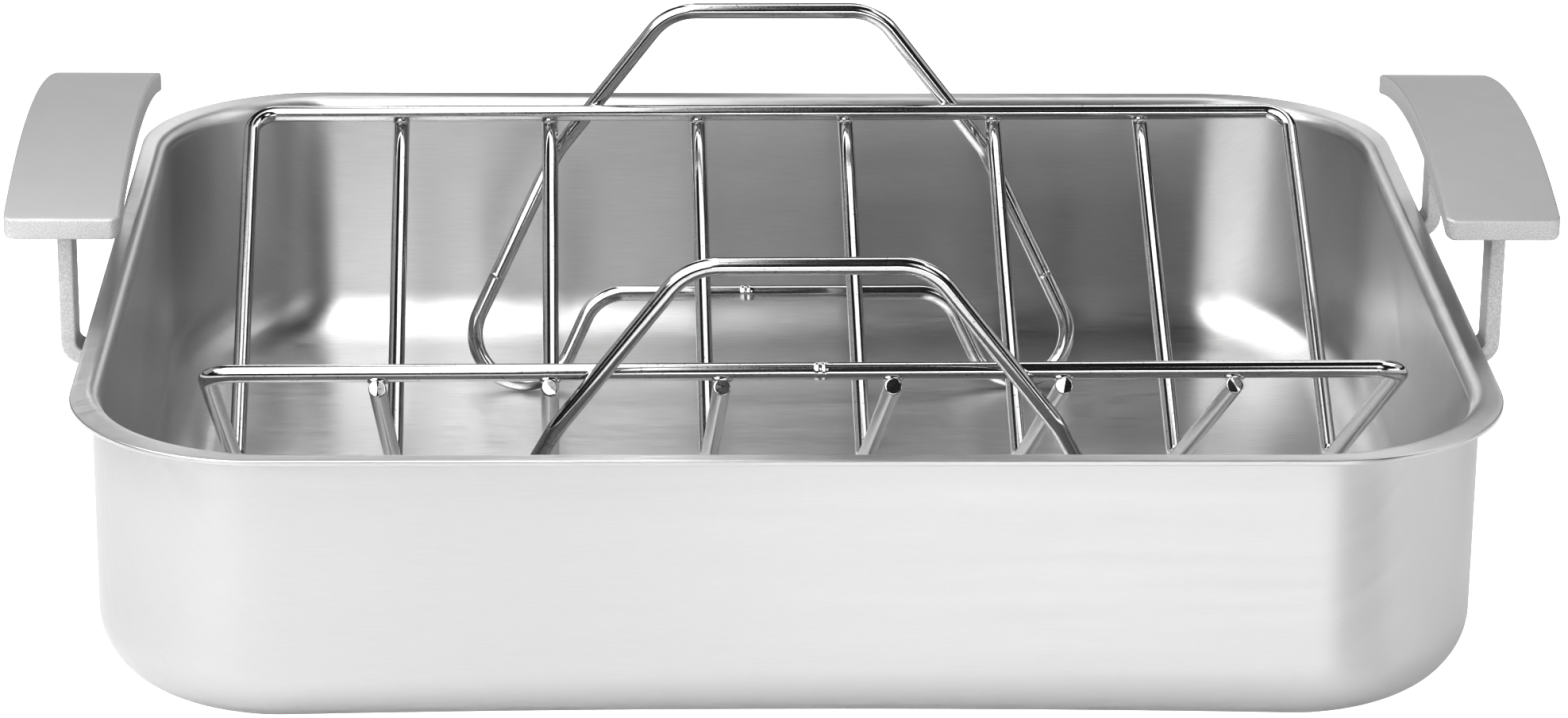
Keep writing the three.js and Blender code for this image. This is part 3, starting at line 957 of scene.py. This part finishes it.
def brushed_steel(pan):
    """Steel brushed as a flat sheet: its streaks run up the ends and along the sides of the drawn pan.

    The walls, which face the pan's middle or look away from it, are brushed more finely than the floor.
    """
    material, tree, shader = node_material("brushed_steel")
    place = add_node(tree, "ShaderNodeUVMap", uv_map="sheet").outputs["UV"]
    lines, bands = streaks(tree, place, BRUSHING)
    tangent = add_node(tree, "ShaderNodeTangent", direction_type="UV_MAP", uv_map="sheet")
    spot = add_node(tree, "ShaderNodeTexCoord").outputs["Object"]
    facing = add_node(tree, "ShaderNodeNewGeometry").outputs["True Normal"]
    dot = add_node(tree, "ShaderNodeVectorMath", {0: spot, 1: facing}, operation="DOT_PRODUCT")
    away = dot.outputs["Value"]
    inside = smooth_step(tree, away, *INNER_WALL, 0.5, 1)
    coarse = math_node(tree, "MULTIPLY", inside, smooth_step(tree, away, *OUTER_WALL, 1, 0.25))
    shade = math_node(tree, "MULTIPLY", ranged(tree, lines, -0.15, 0.01), coarse)
    tone = math_node(tree, "ADD", shade, smooth_step(tree, away, *OUTER_WALL, 1, 0.92))
    rough = math_node(tree, "ADD", ranged(tree, lines, -0.04, 0.04), ranged(tree, bands, 0.32, 0.36))
    height = math_node(tree, "MULTIPLY", lines, coarse)
    feed(tree, shader, {
        "Metallic": 1,
        "Anisotropic": 0.9,
        "Tangent": tangent.outputs["Tangent"],
        "Base Color": tinted(tree, pan.steel, tone),
        "Roughness": rough,
        "Normal": bumped(tree, height, 0.15, 0.0002),
    })
    return material


def blasted_steel_painted_light(handle):
    """Cast and blasted steel: satin on the grip's broad faces, a coarse sparkle on ends, sides and posts, and
    painted light that makes their colour a third brighter than the broad faces'.
    """
    material, tree, shader = node_material("blasted_steel_painted_light")
    place = add_node(tree, "ShaderNodeTexCoord").outputs["Object"]
    grains = noise(tree, place, BLAST_GRAINS, 2)
    clouds = noise(tree, place, BLAST_CLOUDS, 3)
    facing = add_node(tree, "ShaderNodeNewGeometry").outputs["True Normal"]
    axes = add_node(tree, "ShaderNodeSeparateXYZ", {"Vector": facing})
    upward = math_node(tree, "ABSOLUTE", axes.outputs["Z"])
    coarse = smooth_step(tree, upward, *BROAD_TO_SIDE, 0.1, 1)
    shade = math_node(tree, "MULTIPLY", ranged(tree, grains, -0.22, 0.22), coarse)
    # Painted light: faces that turn sideways get a colour 1.35 times as bright as the broad faces, so the
    # ends and posts look lit
    tone = math_node(tree, "ADD", shade, smooth_step(tree, upward, *BROAD_TO_SIDE, 1, 1.35))
    rough = math_node(tree, "ADD", ranged(tree, grains, -0.05, 0.05), ranged(tree, clouds, 0.66, 0.72))
    height = math_node(tree, "MULTIPLY", grains, coarse)
    feed(tree, shader, {
        "Metallic": 1,
        "Base Color": tinted(tree, handle.steel, tone),
        "Roughness": rough,
        "Normal": bumped(tree, height, 0.55, 0.0003),
    })
    return material


def bright_wire(rack):
    """Bright plated wire: faint drawing lines along it and a few small dark specks."""
    if "bright_wire" in bpy.data.materials:
        return bpy.data.materials["bright_wire"]
    material, tree, shader = node_material("bright_wire")
    place = add_node(tree, "ShaderNodeAttribute", attribute_name="grain").outputs["Vector"]
    lines, _ = streaks(tree, place, DRAWING)
    spot = add_node(tree, "ShaderNodeTexCoord").outputs["Object"]
    tone = smooth_step(tree, noise(tree, spot, WIRE_SPECKS, 1), 0.64, 0.74, 1, 0.6)
    feed(tree, shader, {
        "Metallic": 1,
        "Base Color": tinted(tree, rack.chrome, tone),
        "Roughness": ranged(tree, lines, 0.1, 0.16),
    })
    return material


# Stage

FLOOR_REACH = 6
CAMERA_PLACE = (-0.044879, -1.475849, 0.584855)
CAMERA_RIGHT = (0.999548, -0.028219, 0.010335)
CAMERA_FORWARD = (0.030052, 0.940021, -0.339789)
CAMERA_LENS = 119.28
CAMERA_SENSOR = 36

# Soft lights: name, place, target, size, and brightness as a share of one of the stage's three
LIGHTS = (
    ("overhead", (-0.25, 0, 1.3), (-0.25, 0, 0), (0.5, 0.6), 0.65, "key"),
    ("overhead_front", (-0.465, -0.5, 1.2), (-0.465, -0.5, 0), (0.87, 0.8), 1.5, "key"),
    ("overhead_left", (-0.8, 0, 1.1), (-0.2, 0, 0.3), (0.6, 0.8), 1.15, "key"),
    ("high_left", (-1.0, -0.5, 1.0), (-0.3, -0.15, 0.4), (0.7, 0.6), 1.6, "key"),
    ("high_front", (-0.25, -1.0, 1.2), (-0.25, -0.3, 0.5), (0.5, 0.6), 0.75, "key"),
    ("front_left", (-0.55, -1.2, 0.9), (-0.55, 0, 0.9), (0.9, 0.8), 1.1, "key"),
    ("far_left", (-0.95, -1.0, 0.8), (-0.3, -0.3, 0.4), (0.7, 0.7), 0.4, "key"),
    ("front_right", (0.6, -1.0, 0.9), (0.15, -0.25, 0.4), (0.4, 0.7), 1, "fill"),
    ("overhead_back", (0.3, 0.6, 1.2), (0.3, 0.2, 0.3), (0.9, 0.6), 1, "fill"),
    ("right", (1.3, 0.4, 0.6), (0, 0.4, 0.5), (1.2, 0.6), 0.4, "fill"),
    ("overhead_right", (0.95, 0.1, 1.0), (0.3, 0, 0.3), (0.9, 0.7), 1, "fill"),
    ("left", (-1.2, 0.6, 0.75), (0, 0.2, 0.4), (1.2, 1.1), 0.3, "fill"),
    ("back", (0, 1.6, 0.5), (0, 0, 0.5), (2.4, 0.8), 0.15, "fill"),
    ("back_left", (-0.33, 1.5, 0.73), (-0.2, 0, 0.1), (0.26, 0.7), 1, "fill"),
    ("back_right", (0.6, 1.5, 0.8), (0.26, 0, 0.1), (0.6, 0.6), 0.95, "fill"),
    ("high_back", (-0.13, 0.7, 1.0), (-0.13, 0.1, 0.1), (0.16, 0.6), 1, "fill"),
    ("right_low", (1.6, -0.6, 0.2), (0, -0.1, 0.1), (1.4, 0.4), 1, "fill"),
    ("front_low", (0.5, -2.0, 0.15), (0.5, 0, 0.15), (1.0, 0.3), 1, "front"),
)


def add_light(name, place, target, size, bright):
    """A rectangular light of that size that looks from its place at the target."""
    light = bpy.data.lights.new(name, "AREA")
    light.shape = "RECTANGLE"
    light.size, light.size_y = size
    light.energy = math.pi * bright * size[0] * size[1]
    way = Vector(target) - Vector(place)
    turn = way.to_track_quat("-Z", "Y").to_matrix().to_4x4()
    add_object(name, light).matrix_world = Matrix.Translation(place) @ turn


def add_camera():
    """The camera stands in front of the pan and looks down on it through a long lens."""
    right, forward = Vector(CAMERA_RIGHT), Vector(CAMERA_FORWARD)
    turn = Matrix((right, right.cross(forward), -forward)).transposed().to_4x4()
    lens = bpy.data.cameras.new("camera")
    lens.sensor_width, lens.lens = CAMERA_SENSOR, CAMERA_LENS
    lens.clip_start, lens.clip_end = 0.01, 50
    camera = add_object("camera", lens)
    camera.matrix_world = Matrix.Translation(CAMERA_PLACE) @ turn
    bpy.context.scene.camera = camera


def add_floor(stage):
    """A pale plane that the camera sees almost evenly white and that lights the pan with its true shading."""
    square = np.array([(-1, -1, 0), (1, -1, 0), (1, 1, 0), (-1, 1, 0)])
    mesh = new_mesh("floor", FLOOR_REACH * square, [np.array([(0, 1, 2, 3)])])
    material, tree, shader = node_material("pale_floor")
    seen = add_node(tree, "ShaderNodeLightPath").outputs["Is Camera Ray"]
    feed(tree, shader, {
        "Base Color": (*stage.floor_colour, 1),
        "Roughness": 0.9,
        "Specular IOR Level": 0,
        "Emission Color": (1, 1, 1, 1),
        "Emission Strength": smooth_step(tree, seen, 0, 1, stage.floor_glow, stage.floor_white),
    })
    mesh.materials.append(material)
    floor = add_object("floor", mesh)


def add_room(stage):
    """The dark room round the lights."""
    world = bpy.data.worlds.new("room")
    bpy.context.scene.world = world
    world.use_nodes = True
    shade = (stage.room, stage.room, stage.room, 1)
    feed(world.node_tree, world.node_tree.nodes["Background"], {"Color": shade})


class ROASTER_OT_stage(bpy.types.Operator):
    """Set up the camera, the pale floor and the soft studio light"""

    bl_idname = "roaster.stage"
    bl_label = "Stage"

    def execute(self, context):
        stage = context.scene.roaster_stage
        add_camera()
        add_floor(stage)
        add_room(stage)
        for name, place, target, size, share, group in LIGHTS:
            add_light(name, place, target, size, share * getattr(stage, group))
        context.scene.view_settings.view_transform = "Standard"
        context.scene.view_settings.look = "High Contrast"
        return {"FINISHED"}


# Panel and registration


class ROASTER_PT_panel(bpy.types.Panel):
    """Steps that build the roasting pan"""

    bl_idname = "ROASTER_PT_panel"
    bl_label = "Roasting pan"
    bl_space_type = "VIEW_3D"
    bl_region_type = "UI"
    bl_category = "Roasting pan"

    def draw(self, context):
        for step in STEPS:
            self.layout.operator(step.bl_idname)


STEPS = (
    ROASTER_OT_pan,
    ROASTER_OT_handles,
    ROASTER_OT_rack_frame,
    ROASTER_OT_cross_wires,
    ROASTER_OT_leg_loops,
    ROASTER_OT_welds,
    ROASTER_OT_stage,
)

CLASSES = (*SETTINGS.values(), *STEPS, ROASTER_PT_panel)


def register():
    """Make the settings, the steps and the panel known."""
    for known in CLASSES:
        bpy.utils.register_class(known)
    for name, settings in SETTINGS.items():
        setattr(bpy.types.Scene, name, PointerProperty(type=settings))


def unregister():
    """Take them away again, in the opposite order."""
    for name in SETTINGS:
        delattr(bpy.types.Scene, name)
    for known in reversed(CLASSES):
        bpy.utils.unregister_class(known)


def main():
    """Build everything."""
    register()
    bpy.ops.roaster.pan()
    bpy.ops.roaster.handles()
    bpy.ops.roaster.rack_frame()
    bpy.ops.roaster.cross_wires()
    bpy.ops.roaster.leg_loops()
    bpy.ops.roaster.welds()
    bpy.ops.roaster.stage()


if __name__ == "__main__":
    main()
